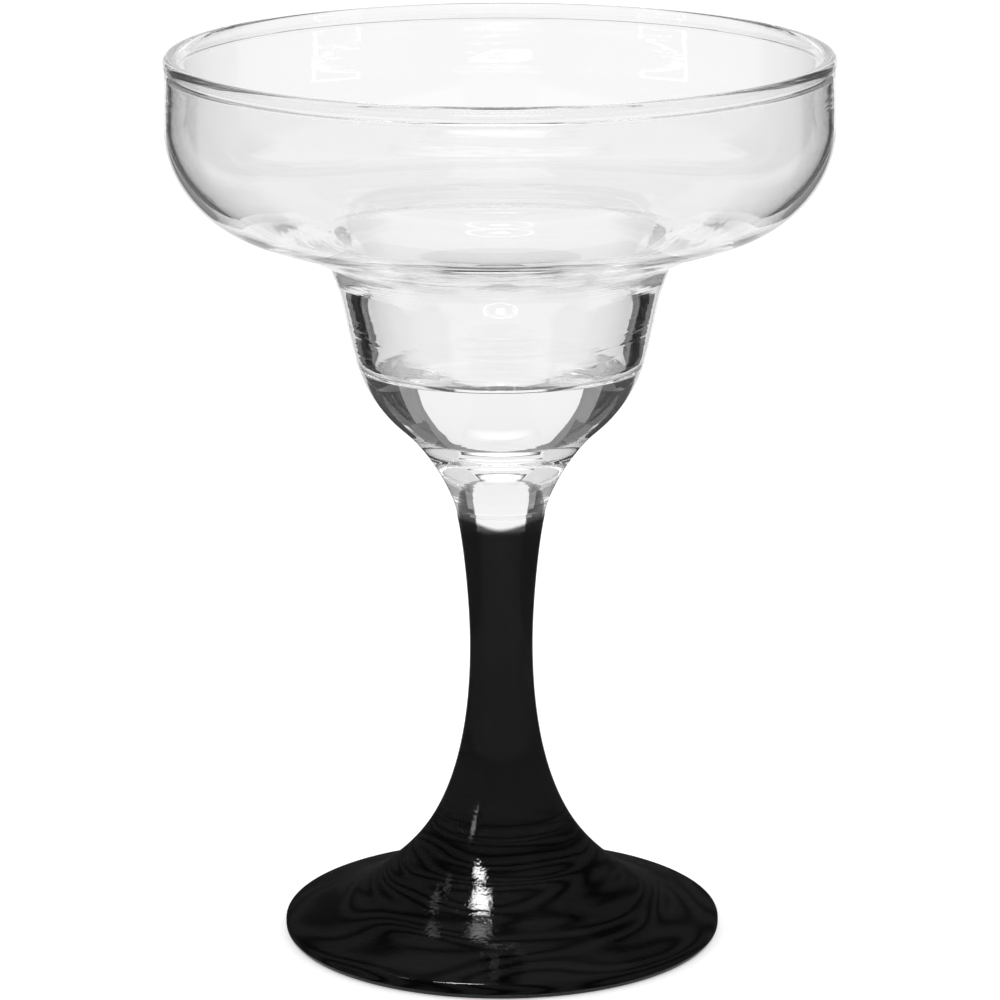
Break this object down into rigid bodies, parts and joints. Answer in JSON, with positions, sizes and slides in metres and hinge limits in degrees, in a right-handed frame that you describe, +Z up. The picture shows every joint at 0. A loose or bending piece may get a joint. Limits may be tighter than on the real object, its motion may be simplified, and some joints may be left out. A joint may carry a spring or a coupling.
{
  "type": "margarita glass",
  "caption": "Clear stemmed glass with a wide saucer dish over a small deep well, on a waisted solid stem and a round foot coated black.",
  "frame": {"origin": "on the glass's axis, at the plane of the table that it stands on", "axes": "+Z up along the axis from foot to rim; the glass is round, so +X and +Y are free, and the picture looks along +Y"},
  "size_m": [0.1094, 0.1094, 0.15],
  "materials": {
    "clear_glass": "fire-polished, clear and smooth",
    "stem_glass": "clear pressed glass under a black coat",
    "foot_glass": "clear pressed glass under a black coat, bare underneath",
    "black_coat": "high-gloss black lacquer"
  },
  "bodies": {
    "root": {"bowl": "clear_glass", "stem": "stem_glass", "foot": "foot_glass", "black_coat": "black_coat"}
  },
  "joints": []
}
